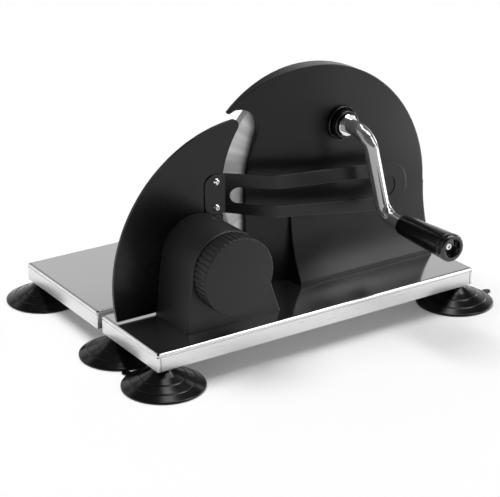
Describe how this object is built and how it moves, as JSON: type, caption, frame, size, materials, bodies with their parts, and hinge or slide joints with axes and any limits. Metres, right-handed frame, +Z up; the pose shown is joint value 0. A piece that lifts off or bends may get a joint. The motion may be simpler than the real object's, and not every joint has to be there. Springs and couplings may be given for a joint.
{
  "type": "hand cranked bread slicer",
  "caption": "Hand cranked bread slicer on folded steel trays with suction feet, round blade, slotted slice guide and thickness knob.",
  "frame": {"origin": "middle of the machine's box, at the table surface under the suction feet", "axes": "+X to the crank side's right along the base's long edge, +Y to the rear where the bread table is, +Z up"},
  "size_m": [0.3504, 0.2936, 0.2062],
  "materials": {
    "brushed_steel": "brushed along the length",
    "plated_steel": "bright plated",
    "hinge_steel": "satin",
    "black_plastic": "fine satin",
    "black_metal": "satin black coat",
    "guide_black": "satin black coat",
    "gloss_black": "gloss",
    "grip_black": "gloss",
    "knob_black": "satin",
    "knob_washer": "matt",
    "gear_plastic": "natural",
    "dark_screw": "blackened",
    "blade_steel": "fine ground",
    "brass": "satin",
    "polished_steel": "polished",
    "crank_chrome": "polished",
    "foot_rubber": "smooth soft rubber"
  },
  "bodies": {
    "base": {"front_tray": "brushed_steel", "suction_foot_front_left": "foot_rubber", "suction_foot_front_right": "foot_rubber", "suction_foot_middle_left": "foot_rubber", "suction_foot_middle_right": "foot_rubber", "foot_studs_base": "plated_steel", "hinge_leaf_base_left": "hinge_steel", "hinge_leaf_base_right": "hinge_steel", "hinge_pin_left": "plated_steel", "hinge_pin_right": "plated_steel", "hinge_rivets_base": "plated_steel", "gear_cover": "black_plastic", "back_plate": "black_plastic", "back_plate_screws": "dark_screw", "cover_base_screws": "plated_steel", "knob_housing_screws": "plated_steel", "blade_axle": "plated_steel", "crank_bearing": "gloss_black", "knob_housing": "black_metal", "guide_rod_left": "plated_steel", "guide_rod_right": "plated_steel"},
    "crank": {"crank_arm": "crank_chrome", "crank_gear": "gear_plastic", "crank_washer": "polished_steel", "grip_screw": "polished_steel", "grip_washer": "polished_steel"},
    "grip": {"crank_grip": "grip_black"},
    "blade_unit": {"blade": "blade_steel", "blade_pinion": "gear_plastic", "blade_bush": "brass", "blade_nut": "black_plastic", "blade_screws": "plated_steel"},
    "stop": {"stop_plate": "black_metal", "stop_carriage": "gear_plastic", "stop_plate_screws": "dark_screw", "slice_guide": "guide_black", "guide_screws": "polished_steel"},
    "knob": {"thickness_knob": "knob_black", "thickness_screw": "plated_steel", "knob_washer": "knob_washer"},
    "table": {"bread_table": "brushed_steel", "suction_foot_rear_left": "foot_rubber", "suction_foot_rear_right": "foot_rubber", "foot_studs_table": "plated_steel", "hinge_leaf_table_left": "hinge_steel", "hinge_leaf_table_right": "hinge_steel", "hinge_rivets_table": "plated_steel"}
  },
  "joints": [
    {"name": "crank_turn", "type": "hinge", "parent": "base", "child": "crank", "pos_m": [0.05433, -0.0618, 0.15583], "axis": [0, 1, 0], "continuous": true},
    {"name": "blade_spin", "type": "hinge", "parent": "base", "child": "blade_unit", "pos_m": [0.03075, -0.0125, 0.1175], "axis": [0, 1, 0], "continuous": true},
    {"name": "grip_spin", "type": "hinge", "parent": "crank", "child": "grip", "pos_m": [0.07261, -0.0856, 0.08412], "axis": [0, 1, 0], "continuous": true},
    {"name": "knob_turn", "type": "hinge", "parent": "base", "child": "knob", "pos_m": [-0.08125, -0.0715, 0.0755], "axis": [0, -1, 0], "range_deg": [0, 285]},
    {"name": "stop_slide", "type": "slide", "parent": "base", "child": "stop", "axis": [0, 1, 0], "range_m": [0, 0.0095]},
    {"name": "table_fold", "type": "hinge", "parent": "base", "child": "table", "pos_m": [-0.00325, 0.0007, 0.028], "axis": [1, 0, 0], "range_deg": [0, 90]}
  ],
  "couplings": [
    {"joint": "blade_spin", "follows": "crank_turn", "ratio": -2},
    {"joint": "knob_turn", "follows": "stop_slide", "rad_per_m": 523.6}
  ]
}
